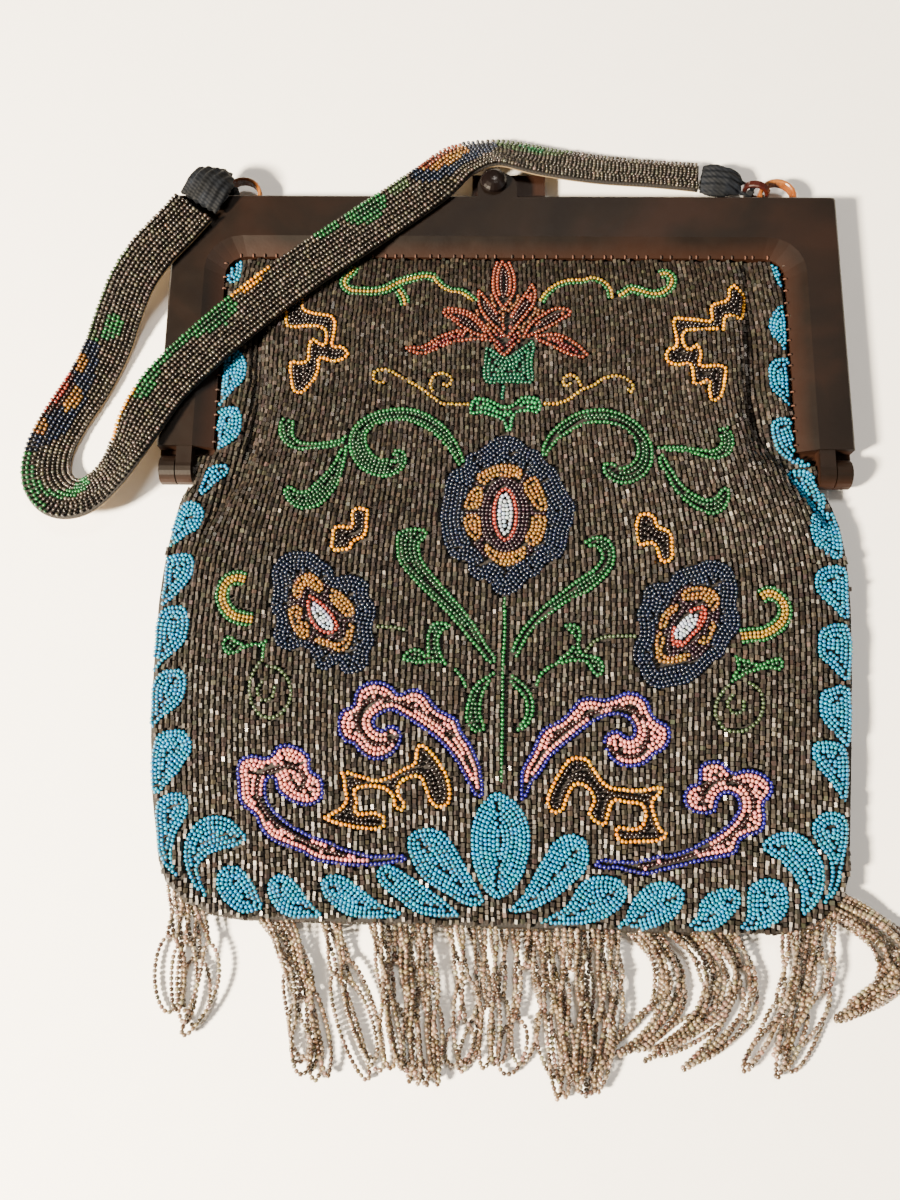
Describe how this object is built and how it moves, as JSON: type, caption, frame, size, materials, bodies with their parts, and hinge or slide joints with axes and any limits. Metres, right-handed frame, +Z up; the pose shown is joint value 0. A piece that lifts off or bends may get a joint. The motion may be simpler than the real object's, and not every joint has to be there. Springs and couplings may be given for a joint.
{
  "type": "beaded flapper purse",
  "caption": "Flat celluloid-framed evening purse with a beaded cloth bag, beaded band handle and looped bead fringe, lying on its back.",
  "frame": {"origin": "on the resting plane under the middle of the frame's top bar, on the back half's flat face", "axes": "+X to the right along the top bar, +Y from the bag towards the top of the frame and the handle, +Z up from the table through the purse's front"},
  "size_m": [0.2272, 0.2554, 0.0132],
  "materials": {
    "celluloid": "worn dark tortoiseshell celluloid, soft shine",
    "pin_steel": "dull steel pin",
    "knob_celluloid": "polished dark celluloid",
    "amber_celluloid": "translucent amber celluloid, polished",
    "dark_amber_celluloid": "dark red-brown celluloid, polished",
    "tab_silk": "navy ribbed silk, gathered",
    "beaded_band": "gunmetal glass seed beads with coloured motifs on cloth",
    "beaded_cloth": "gunmetal glass seed beads with coloured motifs on cloth",
    "fringe_beads": "taupe glass seed beads on thread"
  },
  "bodies": {
    "root": {"frame_front": "celluloid", "frame_back": "celluloid", "hinge_pin_left": "pin_steel", "hinge_pin_right": "pin_steel", "clasp_knob": "knob_celluloid", "handle_ring_left": "amber_celluloid", "handle_ring_right": "amber_celluloid", "link_ring_right": "dark_amber_celluloid", "handle_tab_left": "tab_silk", "handle_tab_right": "tab_silk", "handle_band": "beaded_band", "bag_front": "beaded_cloth", "bag_back": "beaded_cloth", "fringe": "fringe_beads"}
  },
  "joints": []
}
